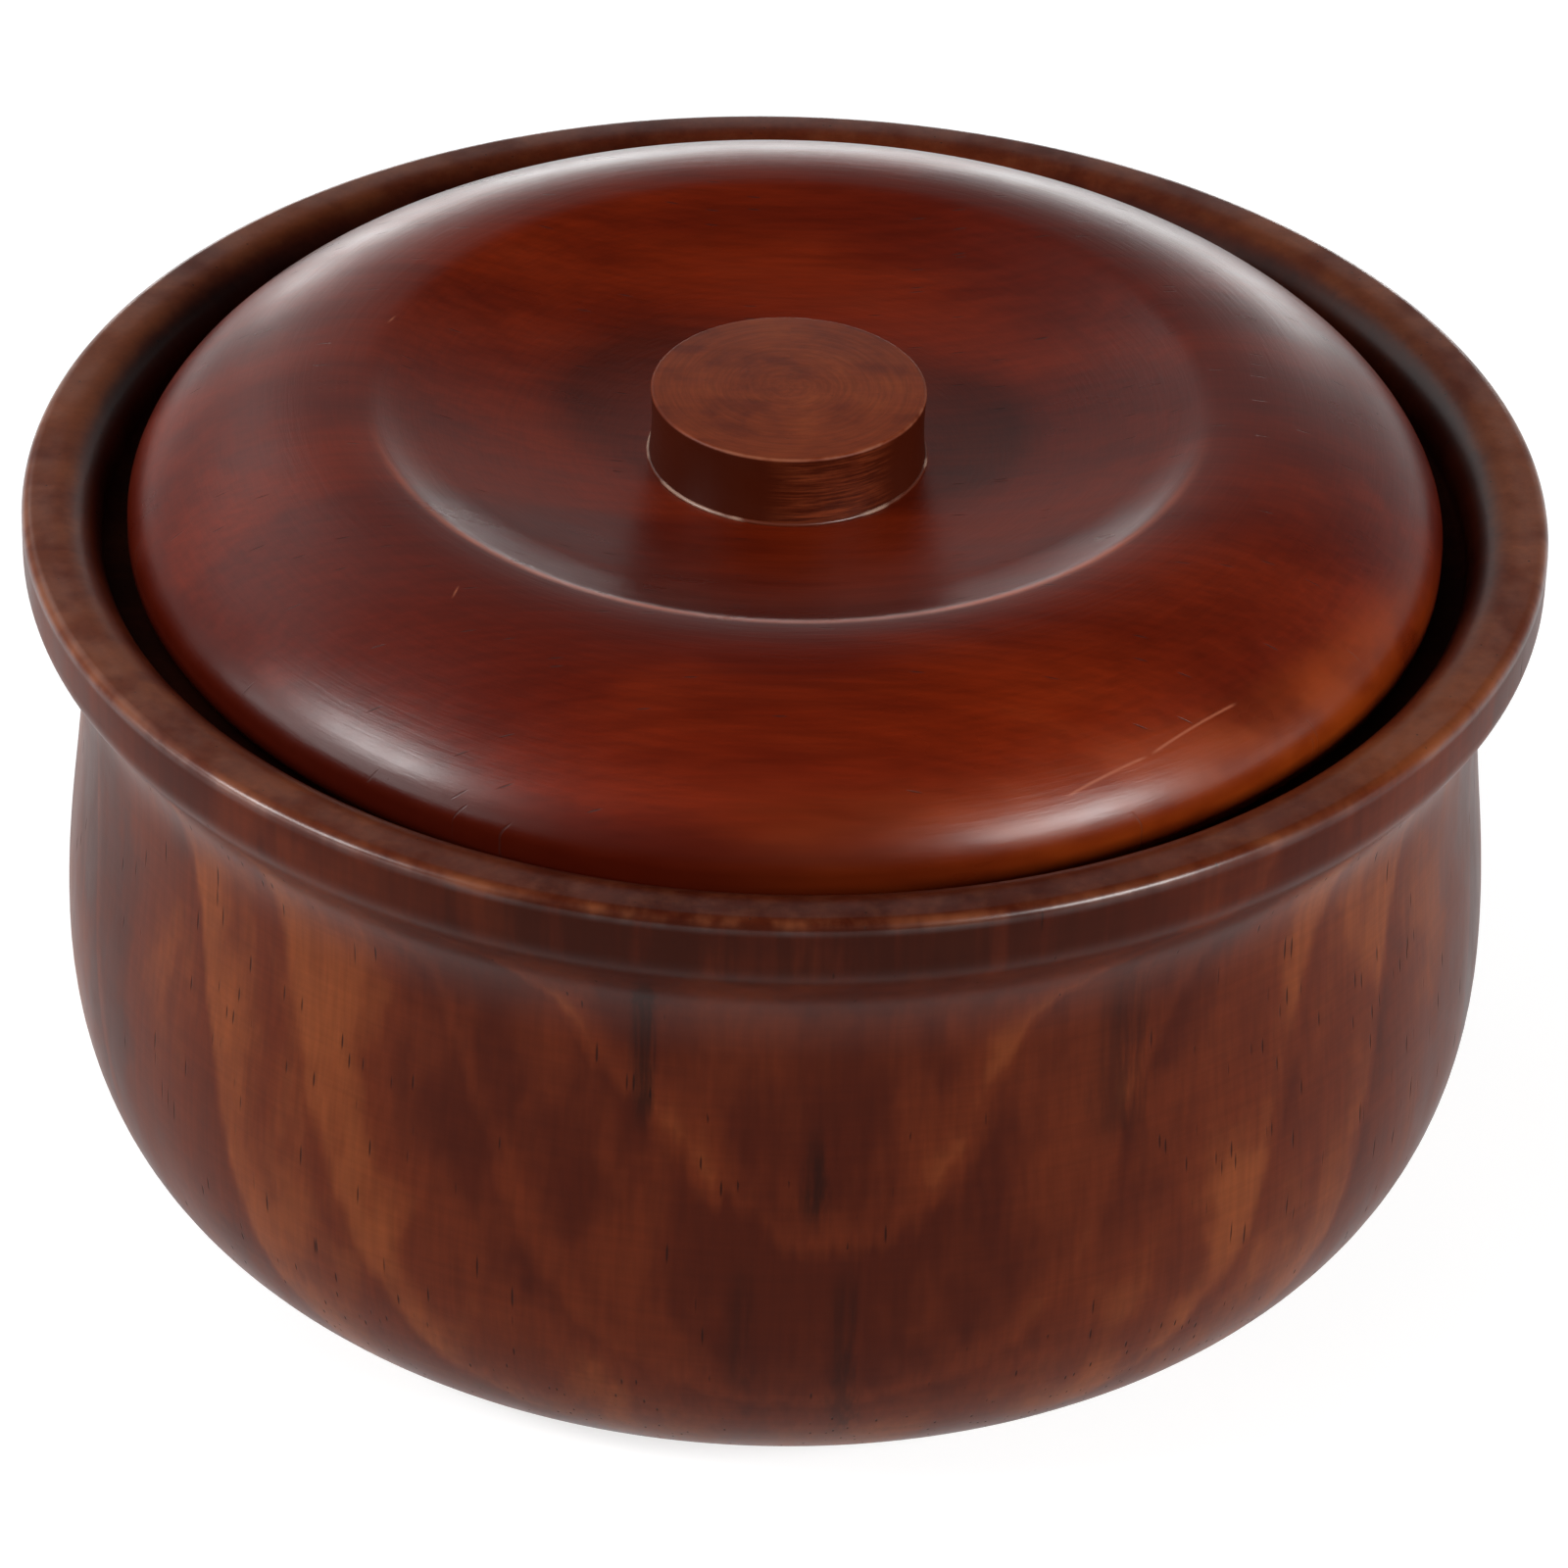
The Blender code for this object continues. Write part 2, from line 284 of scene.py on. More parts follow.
def lid_outline():
    """The dowel hole, the dish, the crease, the domed ring, its edge and the spigot underneath."""
    crease = Vector((CREASE_RADIUS, LID_RISE))
    edge = Vector((LID_RADIUS, LID_EDGE_HEIGHT))
    land = Vector((LAND_RADIUS, LAND_HEIGHT))
    up = Vector((0, 1))
    lift = Vector((math.cos(RING_LIFT_ANGLE), math.sin(RING_LIFT_ANGLE)))
    dish = arc(land, crease, DISH_CURVE_RADIUS, -up, CURVE_STEPS)
    ring = curve(
        crease,
        crease + lift * (RING_WIDTH * RING_FULLNESS),
        edge + up * ((LID_RISE - LID_EDGE_HEIGHT) * EDGE_FULLNESS),
        edge,
    )
    dish = [point for point in dish if (point - crease).length > CREASE_BLEND]
    ring = [point for point in ring if (point - crease).length > CREASE_BLEND]
    crest = rounded((*dish[-1], 0), (*crease, CREASE_ROUND), (*ring[0], 0))
    hole_floor = LAND_HEIGHT - HOLE_DEPTH
    hole = rounded(
        (0, hole_floor, 0),
        (HOLE_RADIUS, hole_floor, 0),
        (HOLE_RADIUS, LAND_HEIGHT, 0),
        (*land, 0),
    )
    hollow_radius = SPIGOT_RADIUS - SPIGOT_WIDTH
    ceiling = LAND_HEIGHT - WEB_THICKNESS
    underside = rounded(
        (*edge, 0),
        (LID_RADIUS, 0, LID_EDGE_ROUND),
        (SPIGOT_RADIUS, 0, 0),
        (SPIGOT_RADIUS, -SPIGOT_DEPTH, SPIGOT_ROUND),
        (hollow_radius, -SPIGOT_DEPTH, SPIGOT_ROUND),
        (hollow_radius, ceiling, HOLLOW_ROUND),
        (0, ceiling, 0),
    )
    return hole + dish[1:-1] + crest + ring[1:-1] + underside


def knob_outline():
    """The flat top, the slightly waisted side, the foot and the dowel hole."""
    top = Vector((KNOB_TOP_RADIUS, KNOB_HEIGHT - KNOB_TOP_ROUND))
    foot = Vector((KNOB_FOOT_RADIUS, 0))
    half = (top - foot).length / 2
    waist_radius = (half**2 + KNOB_WAIST**2) / (2 * KNOB_WAIST)
    side = arc(top, foot, waist_radius, Vector((-1, 0)), CURVE_STEPS)
    brim = rounded(
        (0, KNOB_HEIGHT, 0),
        (KNOB_TOP_RADIUS, KNOB_HEIGHT, KNOB_TOP_ROUND),
        (*side[0], 0),
    )
    hole = rounded((HOLE_RADIUS, 0, 0), (HOLE_RADIUS, HOLE_DEPTH, 0), (0, HOLE_DEPTH, 0))
    return brim[:-1] + side + hole


def glue_outline():
    """A thin bead of glue squeezed out all round the knob's foot."""
    turns = [2 * math.pi * side / GLUE_BEAD_SIDES for side in range(GLUE_BEAD_SIDES + 1)]
    centre = Vector((KNOB_FOOT_RADIUS, -GLUE_GAP / 2))
    return [centre + GLUE_BEAD * Vector((math.cos(turn), math.sin(turn))) for turn in turns]


def turned(name, outline, segments, height):
    """A piece spun about the Z axis from an outline, at that height."""
    shape = bmesh.new()
    verts = []
    for point in outline:
        place = Vector((point.x, 0, point.y + height))
        if not verts or (verts[-1].co - place).length > MERGE_DISTANCE:
            verts.append(shape.verts.new(place))
    edges = [shape.edges.new(pair) for pair in zip(verts, verts[1:])]
    bmesh.ops.spin(
        shape, geom=verts + edges, cent=(0, 0, 0), axis=(0, 0, 1), angle=2 * math.pi,
        steps=segments, use_merge=True,
    )
    bmesh.ops.remove_doubles(shape, verts=shape.verts, dist=MERGE_DISTANCE)
    bmesh.ops.recalc_face_normals(shape, faces=shape.faces)
    mesh = bpy.data.meshes.new(name)
    shape.to_mesh(mesh)
    shape.free()
    mesh.shade_smooth()
    mesh.set_sharp_from_angle(angle=SHARP_ANGLE)
    piece = bpy.data.objects.new(name, mesh)
    bpy.context.scene.collection.objects.link(piece)
    return piece


def linear(red, green, blue):
    """A linear colour from its sRGB values, 0 to 255."""
    shares = [value / 255 for value in (red, green, blue)]
    return tuple(s / 12.92 if s <= 0.04045 else ((s + 0.055) / 1.055) ** 2.4 for s in shares)


def fill_ramp(ramp, stops):
    """Gives a colour ramp grey levels at (position, level) stops."""
    elements = ramp.color_ramp.elements
    while len(elements) < len(stops):
        elements.new(0.5)
    for element, (position, level) in zip(elements, stops):
        element.position = position
        element.color = (level, level, level, 1)


class Finish:
    """One material. Its methods add nodes and return an output; node returns the node itself."""

    def __init__(self, name):
        self.material = bpy.data.materials.new(name)
        self.material.use_nodes = True
        self.tree = self.material.node_tree
        self.shader = self.tree.nodes["Principled BSDF"]
        object_point = self.node("TexCoord").outputs["Object"]
        scale = {0: object_point, "Scale": MILLIMETRES}
        self.point = self.node("VectorMath", scale, operation="SCALE").outputs[0]
        self.x, self.y, self.z = self.node("SeparateXYZ", {0: self.point}).outputs
        flat = self.stretched((1, 1, 0))
        self.radius = self.node("VectorMath", {0: flat}, operation="LENGTH").outputs["Value"]
        self.angle = self.math("ARCTAN2", self.x, self.math("MULTIPLY", self.y, -1.0))

    def node(self, kind, inputs=(), **settings):
        made = self.tree.nodes.new("ShaderNode" + kind)
        for key, value in settings.items():
            setattr(made, key, value)
        for key, value in dict(inputs).items():
            self.feed(made.inputs[key], value)
        return made

    def feed(self, socket, value):
        if isinstance(value, bpy.types.NodeSocket):
            self.tree.links.new(value, socket)
        else:
            socket.default_value = value

    def math(self, operation, a, b=0.0, clamp=False):
        return self.node("Math", {0: a, 1: b}, operation=operation, use_clamp=clamp).outputs[0]

    def product(self, *values):
        result = values[0]
        for value in values[1:]:
            result = self.math("MULTIPLY", result, value)
        return result

    def stretched(self, scale):
        """The point in the piece, in millimetres, with each axis scaled."""
        return self.node("VectorMath", {0: self.point, 1: scale}, operation="MULTIPLY").outputs[0]

    def along(self, direction):
        """How far the point lies in a direction, in millimetres."""
        pair = {0: self.point, 1: direction}
        return self.node("VectorMath", pair, operation="DOT_PRODUCT").outputs["Value"]

    def noise(self, scale, detail=2.0, roughness=0.5):
        inputs = {"Vector": self.stretched(scale), "Scale": 1.0}
        inputs.update({"Detail": detail, "Roughness": roughness})
        return self.node("TexNoise", inputs).outputs[0]

    def lines(self, value, per_millimetre, per_radian, detail=5.0, roughness=0.7):
        """Lines round the turning axis, spaced along a measure such as a radius or a height."""
        place = {0: self.product(value, per_millimetre), 1: self.product(self.angle, per_radian)}
        inputs = {"Vector": self.node("CombineXYZ", place).outputs[0], "Scale": 1.0}
        inputs.update({"Detail": detail, "Roughness": roughness})
        return self.node("TexNoise", inputs, noise_dimensions="2D").outputs[0]

    def between(self, value, low, high, to_low=0.0, to_high=1.0):
        """To_low to to_high, eased as value goes from low to high."""
        inputs = {0: value, 1: low, 2: high, 3: to_low, 4: to_high}
        return self.node("MapRange", inputs, interpolation_type="SMOOTHSTEP").outputs[0]

    def near(self, value, place, reach):
        """1 where value is at a place, easing to 0 within reach of it."""
        away = self.math("ABSOLUTE", self.math("SUBTRACT", value, place))
        return self.between(away, 0.0, reach, 1.0, 0.0)

    def ramp(self, value, stops):
        """A grey profile through (position, level) stops."""
        ramp = self.node("ValToRGB", {0: value})
        fill_ramp(ramp, stops)
        return ramp.outputs[0]

    def mix(self, share, first, second, blend="MIX"):
        made = self.node("Mix", data_type="RGBA", blend_type=blend)
        self.feed(made.inputs["Factor"], share)
        for socket, value in ((made.inputs[6], first), (made.inputs[7], second)):
            self.feed(socket, (*value, 1) if isinstance(value, tuple) else value)
        return made.outputs[2]


# Ends of the range of a noise that is put to use
WIDE_NOISE = (0.2, 0.8)
MIDDLE_NOISE = (0.3, 0.7)
FIBRE_NOISE = (0.28, 0.72)

# Detail and roughness of a noise
FIBRE_DETAIL = (4.0, 0.6)
BLOTCH_DETAIL = (3.0, 0.55)
CLOUD_DETAIL = (3.0, 0.6)

# Tones between which one stain gives way to the next
DARK_TO_MIDDLE = (-0.1, 0.45)
MIDDLE_TO_LIGHT = (0.4, 1.0)

# Pores: the ring lightness over which they get common, the share of a pore that is fully dark, its
# strength in the colour and what it adds to the roughness
PORE_BAND = (0.05, 0.7)
PORE_CORE = 0.4
PORE_DARKNESS = 0.8
PORE_ROUGHNESS = 0.2

# Gloss and relief
ROUGHNESS_SPREAD = (-0.03, 0.04)
COAT_ROUGHNESS = 0.27
RELIEF_STRENGTH = 0.3
RELIEF_HEIGHT = 0.00008

# Mineral streaks: how they fade past their foot and head, where the front begins, reach in widths
STREAK_FOOT = (-2, 4)
STREAK_HEAD = (3, -6)
STREAK_FRONT = (-30, -60)
STREAK_REACH = 2

# Scratches: length of the faded ends, width in millimetres, strength
SCRATCH_FADE = 1.5
SCRATCH_WIDTH = 0.2
SCRATCH_STRENGTH = 0.7

# Dried glue
GLUE_STAIN_SCALE = (0.16, 0.16, 0.16)
GLUE_STAIN = (0.42, 0.58)
GLUE_ROUGHNESS = 0.35

# Bowl: places in millimetres between which its finish changes, or a place and the reach round it,
# and the amounts there
RING_FADE_HEIGHT = (70, 86)
RING_FADE = (1.0, 0.3)
# Painted light: the rim's top is lighter at both sides, where the side lamps fall
RIM_TOP_HEIGHT = (88.5, 89.8)
RIM_LIT_SIDES = (10, 85)
RIM_SIDE_LIGHT = (0.1, 0.6)
# Stain rubbed thin along the lip's top edge, partly a painted highlight
LIP_WEAR_RADIUS = (89.4, 1.1)
LIP_WEAR_HEIGHT = (89.7, 1.1)
LIP_WEAR_CLOUD = (0.4, 0.65)
LIP_WEAR_AND_HIGHLIGHT = (0.0, 0.55)
# Painted shade on the lip's face at the front, broken into streaks
LIP_SHADE_BOTTOM = (79, 84)
LIP_SHADE_TOP = (90.2, 88.6)
LIP_SHADE_FRONT = (-72, -88)
LIP_STREAK_SCALE = (0.35, 0.35, 0.03)
LIP_STREAK_DETAIL = (3.0, 0.6)
LIP_STREAK_NOISE = (0.35, 0.6)
LIP_SHADE = (0.35, 0.85)
RIM_WEAR_HEIGHT = (88.9, 89.7)
RIM_WEAR_RADIUS = (80.5, 82.5)
RIM_PATCH_SCALE = (0.3, 0.3, 0.0)
RIM_PATCH_DETAIL = (4.0, 0.65)
RIM_PATCH_NOISE = (0.4, 0.7)
RIM_WEAR = (0.0, 0.25)
EDGE_COAT_RADIUS = (84, 87)
EDGE_COAT_HEIGHT = (88.0, 89.0)
EDGE_COAT_CLOUD = (0.35, 0.6)
EDGE_COAT = (0.3, 0.65)
ROLL_COAT_RADIUS = (86, 83)
ROLL_COAT_HEIGHT = (84.5, 87)
ROLL_COAT = 0.5
COVE_COAT_HEIGHT = (73, 7)
COVE_COAT = 0.17
SEAT_DULL_RADIUS = (82.5, 81)
SEAT_DULL_TOP = (85, 84)
SEAT_DULL_BOTTOM = (72, 75)
SEAT_DULL = (0.0, 0.5)

# Lid: the same, with the side that each change faces
LID_TONE = 0.06
# Painted highlight along the crease, most at the front
CREASE_HIGHLIGHT_REACH = 0.9
CREASE_HIGHLIGHT_FRONT = (-5, -40)
CREASE_HIGHLIGHT_CLOUD = (0.3, 0.6)
CREASE_HIGHLIGHT = (0.5, 0.9)
# Stain rubbed thin round the lid's edge, and painted warm light at the front right
EDGE_WEAR_RADIUS = (70, 76.5)
EDGE_GLOW_SIDE = (0.6, -0.8, 0)
EDGE_GLOW_PLACE = (50, 77)
EDGE_WEAR_AND_GLOW = (0.0, 0.75)
EDGE_WEAR_CLOUD = (0.3, 0.65)
EDGE_WEAR_PATCHES = (0.35, 1.0)
# Painted shade along the lid's lower edge, in the gap by the rim
EDGE_SHADE_RADIUS = (73, 77)
EDGE_SHADE_HEIGHT = (95, 89)
EDGE_SHADE_SIDE = (0.85, -0.53, 0)
EDGE_SHADE_PLACE = (30, 70)
EDGE_SHADE = (0.8, 0.2)

# Knob: the same; the lines on its side are spaced per millimetre and per radian, and are painted
# lighter at the front right as the glow of the right lamp
KNOB_LINES = (2.6, 2.0)
KNOB_LINES_NOISE = (0.36, 0.68)
KNOB_GLOW_SIDE = (0.36, -0.93, 0)
KNOB_GLOW_PLACE = (13.6, 16.2)
KNOB_GLOW = (0.0, 0.9)
KNOB_SIDE_DARKENING = 0.98
KNOB_SIDE_HEIGHT = (103.2, 102.9)
# Stain rubbed off the knob's top edge, with a painted highlight at the front
KNOB_WEAR_RADIUS = (16.1, 0.35)
KNOB_WEAR_HEIGHT = (103.25, 0.35)
KNOB_HIGHLIGHT_SIDE = (0.5, -0.87, 0)
KNOB_HIGHLIGHT_PLACE = (-2, 12)
KNOB_WEAR_CLOUD = (0.4, 0.62)
KNOB_WEAR_AND_HIGHLIGHT = (0.05, 0.5)


def growth_rings(finish, grain):
    """How light the wood is across its growth rings, 0 to 1."""
    depth = finish.along(grain["ring_direction"])
    for bend in ("warp", "ripple"):
        noise = finish.noise(grain[bend + "_scale"])
        shift = finish.between(noise, *WIDE_NOISE, -grain[bend], grain[bend])
        depth = finish.math("ADD", depth, shift)
    first, last = grain["rings"][0][0], grain["rings"][-1][0]
    turns = finish.math("DIVIDE", finish.math("SUBTRACT", depth, first), last - first)
    stops = [((place - first) / (last - first), level) for place, level in grain["rings"]]
    return finish.ramp(finish.math("FRACT", turns), stops)


def pores(finish, grain, band):
    """Short dark pores along the grain, thicker where the rings are light."""
    inputs = {"Vector": finish.stretched(grain["pore_scale"]), "Scale": 1.0}
    cell = finish.node("TexVoronoi", inputs, voronoi_dimensions=grain["pore_space"]).outputs
    draw = finish.node("SeparateColor", {0: cell["Color"]}).outputs[0]
    chance = finish.between(band, *PORE_BAND, grain["pore_chance"], grain["pore_chance_band"])
    opened = finish.math("LESS_THAN", draw, chance)
    size = grain["pore_size"]
    hole = finish.between(cell["Distance"], size * PORE_CORE, size, 1.0, 0.0)
    return finish.product(hole, opened)


def streak(finish, x, bottom, top, width, strength, fibre):
    """A dark mineral streak up the front of an upright piece."""
    wander = finish.math("ADD", finish.x, finish.between(fibre, *WIDE_NOISE, -width, width))
    foot = finish.between(finish.z, *(bottom + fade for fade in STREAK_FOOT))
    head = finish.between(finish.z, *(top + fade for fade in STREAK_HEAD))
    front = finish.between(finish.y, *STREAK_FRONT)
    line = finish.near(wander, x, STREAK_REACH * width)
    return finish.product(line, finish.product(foot, head), front, strength)


def scratch(finish, start, end):
    """A thin scratch on a lid's top, between two places seen from above."""
    run = Vector(end) - Vector(start)
    ahead = run.normalized()
    beside = (-ahead.y, ahead.x, 0)
    across = finish.math("SUBTRACT", finish.along(beside), Vector(start).dot(Vector(beside[:2])))
    along = finish.math("SUBTRACT", finish.along((*ahead, 0)), Vector(start).dot(ahead))
    ends = finish.product(
        finish.between(along, 0, SCRATCH_FADE),
        finish.between(along, run.length, run.length - SCRATCH_FADE),
    )
    return finish.product(finish.near(across, 0.0, SCRATCH_WIDTH), ends, SCRATCH_STRENGTH)


def wood_colour(finish, grain, fibre, cloud, turning, pore, band):
    """Uneven stain over rings and fibres, with turning marks, pores, streaks, wear, painted shade
    and highlights, and scratches.
    """
    blotch = finish.noise(grain["blotch_scale"], *BLOTCH_DETAIL)
    uneven = finish.between(blotch, *MIDDLE_NOISE, -grain["blotch"], grain["blotch"])
    clouded = finish.between(cloud, *MIDDLE_NOISE, -grain["cloud"], grain["cloud"])
    uneven = finish.math("ADD", uneven, clouded)
    tone = finish.math("ADD", band, finish.math("ADD", uneven, grain["tone"](finish)))
    colour = finish.mix(finish.between(tone, *DARK_TO_MIDDLE), grain["dark"], grain["middle"])
    colour = finish.mix(finish.between(tone, *MIDDLE_TO_LIGHT), colour, grain["light"])
    shades = ((fibre, FIBRE_NOISE, "fibre_shade"), (turning, MIDDLE_NOISE, "turning_shade"))
    for noise, used, depth in shades:
        shade = finish.between(noise, *used, 1 - grain[depth], 1 + grain[depth])
        colour = finish.mix(1.0, colour, shade, "MULTIPLY")
    colour = finish.mix(finish.product(pore, PORE_DARKNESS), colour, grain["pore"])
    for place in grain["streaks"]:
        colour = finish.mix(streak(finish, *place, fibre), colour, grain["pore"])
    # Wear, stain marks, painted shade and painted highlights, each a mask and its colour
    for wear_and_painted_light, overlay_colour in grain["wear_and_painted_light"]:
        colour = finish.mix(wear_and_painted_light(finish, cloud), colour, overlay_colour)
    for start, end in grain["scratches"]:
        colour = finish.mix(scratch(finish, start, end), colour, grain["scratched"])
    return colour


def wood(name, grain):
    """Solid turned wood under lacquer: its colour, gloss and relief."""
    finish = Finish(name)
    fibre = finish.noise(grain["fibre_scale"], *FIBRE_DETAIL)
    cloud = finish.noise(grain["cloud_scale"], *CLOUD_DETAIL)
    band = finish.product(growth_rings(finish, grain), grain["band"](finish))
    pore = pores(finish, grain, band)
    marks = grain["turning_line"](finish)
    turning = finish.lines(marks, grain["turning_rate"], grain["turning_breaks"])
    sockets = finish.shader.inputs

    colour = wood_colour(finish, grain, fibre, cloud, turning, pore, band)
    finish.feed(sockets["Base Color"], colour)
    limits = [grain["roughness"] + change for change in ROUGHNESS_SPREAD]
    rough = finish.between(cloud, *MIDDLE_NOISE, *limits)
    rough = finish.math("ADD", rough, grain["dull"](finish))
    rough = finish.math("ADD", rough, finish.product(pore, PORE_ROUGHNESS))
    finish.feed(sockets["Roughness"], rough)
    finish.feed(sockets["Specular IOR Level"], grain["specular"])
    finish.feed(sockets["Coat Weight"], grain["coat"](finish, cloud))
    finish.feed(sockets["Coat Roughness"], COAT_ROUGHNESS)
    relief = finish.product(turning, grain["turning_relief"])
    relief = finish.math("ADD", relief, finish.product(fibre, grain["fibre_relief"]))
    relief = finish.math("SUBTRACT", relief, pore)
    bump = {"Strength": RELIEF_STRENGTH, "Distance": RELIEF_HEIGHT, "Height": relief}
    finish.feed(sockets["Normal"], finish.node("Bump", bump).outputs[0])
    return finish.material


def dried_glue():
    """Pale dried glue, clean in some places and stained over in others."""
    finish = Finish("dried_glue")
    stain = finish.between(finish.noise(GLUE_STAIN_SCALE), *GLUE_STAIN)
    colour = finish.mix(stain, linear(140, 108, 92), linear(80, 32, 16))
    finish.feed(finish.shader.inputs["Base Color"], colour)
    finish.feed(finish.shader.inputs["Roughness"], GLUE_ROUGHNESS)
    return finish.material


def bowl_band(finish):
    """Rings show less on the lip, where the stain sank into the end grain."""
    return finish.between(finish.z, *RING_FADE_HEIGHT, *RING_FADE)


def rim_tone_and_side_light(finish):
    """The lip's top is lighter than its face, most at both sides: painted light where the side lamps
    fall, and partly a lighter tone of the wood.
    """
    sideways = finish.math("ABSOLUTE", finish.x)
    top = finish.between(finish.z, *RIM_TOP_HEIGHT)
    return finish.product(top, finish.between(sideways, *RIM_LIT_SIDES, *RIM_SIDE_LIGHT))


def lip_wear_and_highlight(finish, cloud):
    """Stain rubbed thin along the lip's top edge, painted lighter to stand in for part of the
    highlight there.
    """
    around = finish.near(finish.radius, *LIP_WEAR_RADIUS)
    rim = finish.product(around, finish.near(finish.z, *LIP_WEAR_HEIGHT))
    return finish.product(rim, finish.between(cloud, *LIP_WEAR_CLOUD, *LIP_WEAR_AND_HIGHLIGHT))


def lip_front_shade(finish, cloud):
    """Painted shade on the lip's face at the front, where little light falls, broken into streaks.
    """
    bottom = finish.between(finish.z, *LIP_SHADE_BOTTOM)
    face = finish.product(bottom, finish.between(finish.z, *LIP_SHADE_TOP))
    streaks = finish.noise(LIP_STREAK_SCALE, *LIP_STREAK_DETAIL)
    darkening = finish.between(streaks, *LIP_STREAK_NOISE, *LIP_SHADE)
    return finish.product(face, finish.between(finish.y, *LIP_SHADE_FRONT), darkening)


def rim_wear(finish, cloud):
    """Light and dark patches on the rim, where the end grain took the stain unevenly."""
    height = finish.between(finish.z, *RIM_WEAR_HEIGHT)
    top = finish.product(height, finish.between(finish.radius, *RIM_WEAR_RADIUS))
    patches = finish.noise(RIM_PATCH_SCALE, *RIM_PATCH_DETAIL)
    return finish.product(top, finish.between(patches, *RIM_PATCH_NOISE, *RIM_WEAR))


def lip_coat(finish, cloud):
    """Lacquer is thick on the lip's edge, where the rim rolls inward, and in the cove."""
    around = finish.between(finish.radius, *EDGE_COAT_RADIUS)
    edge = finish.product(around, finish.between(finish.z, *EDGE_COAT_HEIGHT))
    edge = finish.product(edge, finish.between(cloud, *EDGE_COAT_CLOUD, *EDGE_COAT))
    inward = finish.between(finish.radius, *ROLL_COAT_RADIUS)
    roll = finish.product(inward, finish.between(finish.z, *ROLL_COAT_HEIGHT))
    cove = finish.near(finish.z, *COVE_COAT_HEIGHT)
    coat = finish.math("ADD", edge, finish.product(roll, ROLL_COAT))
    return finish.math("ADD", coat, finish.product(cove, COVE_COAT))


def seat_dull(finish):
    """The seat is left unpolished."""
    inside = finish.between(finish.radius, *SEAT_DULL_RADIUS)
    seat = finish.product(inside, finish.between(finish.z, *SEAT_DULL_TOP, *SEAT_DULL))
    return finish.product(seat, finish.between(finish.z, *SEAT_DULL_BOTTOM))


def lid_tone(finish):
    """The lid is darker at the front left, right and back right, and lighter in two places."""
    tone = LID_TONE
    for x, y, reach, change in LID_PATCHES:
        ends = {0: finish.stretched((1, 1, 0)), 1: (x, y, 0)}
        away = finish.node("VectorMath", ends, operation="DISTANCE").outputs["Value"]
        tone = finish.math("ADD", finish.product(finish.near(away, 0.0, reach), change), tone)
    return tone


def crease_highlight(finish, cloud):
    """A painted highlight along the crease's crest, most at the front."""
    crest = finish.near(finish.radius, CREASE_RADIUS * MILLIMETRES, CREASE_HIGHLIGHT_REACH)
    front = finish.between(finish.y, *CREASE_HIGHLIGHT_FRONT)
    return finish.product(crest, front, finish.between(cloud, *CREASE_HIGHLIGHT_CLOUD, *CREASE_HIGHLIGHT))


def lid_edge_wear_and_glow(finish, cloud):
    """Stain rubbed thin round the lid's edge, most at the front right, where it is also painted warm
    light from the right lamp.
    """
    edge = finish.between(finish.radius, *EDGE_WEAR_RADIUS)
    side = finish.between(finish.along(EDGE_GLOW_SIDE), *EDGE_GLOW_PLACE, *EDGE_WEAR_AND_GLOW)
    patches = finish.between(cloud, *EDGE_WEAR_CLOUD, *EDGE_WEAR_PATCHES)
    return finish.product(edge, side, patches)


def lid_edge_shade(finish, cloud):
    """Painted shade along the lid's lower edge, down in the gap by the rim, least at the front
    right.
    """
    around = finish.between(finish.radius, *EDGE_SHADE_RADIUS)
    edge = finish.product(around, finish.between(finish.z, *EDGE_SHADE_HEIGHT))
    side = finish.between(finish.along(EDGE_SHADE_SIDE), *EDGE_SHADE_PLACE, *EDGE_SHADE)
    return finish.product(edge, side)


def knob_side_tone_and_glow(finish, cloud):
    """The knob's side is darker than its top, except for some lines at the front right that are
    painted light from the right lamp.
    """
    lines = finish.between(finish.lines(finish.z, *KNOB_LINES), *KNOB_LINES_NOISE)
    painted_glow = finish.between(finish.along(KNOB_GLOW_SIDE), *KNOB_GLOW_PLACE, *KNOB_GLOW)
    darkening = finish.math("SUBTRACT", KNOB_SIDE_DARKENING, finish.product(lines, painted_glow))
    return finish.product(finish.between(finish.z, *KNOB_SIDE_HEIGHT), darkening)


def knob_edge_wear_and_highlight(finish, cloud):
    """Stain rubbed off the knob's top edge, painted lighter at the front as its highlight."""
    around = finish.near(finish.radius, *KNOB_WEAR_RADIUS)
    edge = finish.product(around, finish.near(finish.z, *KNOB_WEAR_HEIGHT))
    front = finish.between(finish.along(KNOB_HIGHLIGHT_SIDE), *KNOB_HIGHLIGHT_PLACE)
    return finish.product(edge, front, finish.between(cloud, *KNOB_WEAR_CLOUD, *KNOB_WEAR_AND_HIGHLIGHT))


# Recipes. Scales are in cycles per millimetre along X, Y and Z. Rings are a depth in millimetres and
# a lightness there. Streaks are x, bottom, top and width in millimetres, and a strength. Scratches
# are the x and y of both ends in millimetres.
PLAIN = dict(
    streaks=(),
    scratches=(),
    coat=lambda finish, cloud: 0.0,
    dull=lambda finish: 0.0,
)
UPRIGHT = dict(
    PLAIN,
    fibre_scale=(1.1, 1.1, 0.05),
    warp_scale=(0.03, 0.03, 0.02),
    ripple_scale=(0.6, 0.6, 0.04),
    blotch_scale=(0.05, 0.05, 0.028),
    cloud_scale=(0.12, 0.12, 0.06),
    pore_scale=(1.2, 1.2, 0.10),
    pore_space="3D",
)
ACROSS = dict(
    PLAIN,
    fibre_scale=(0.05, 1.0, 1.0),
    warp_scale=(0.015, 0.035, 0.035),
    ripple_scale=(0.04, 0.6, 0.6),
    blotch_scale=(0.014, 0.05, 0.05),
    cloud_scale=(0.03, 0.10, 0.10),
    pore_scale=(0.2, 2.4, 0.0),
    pore_space="2D",
)
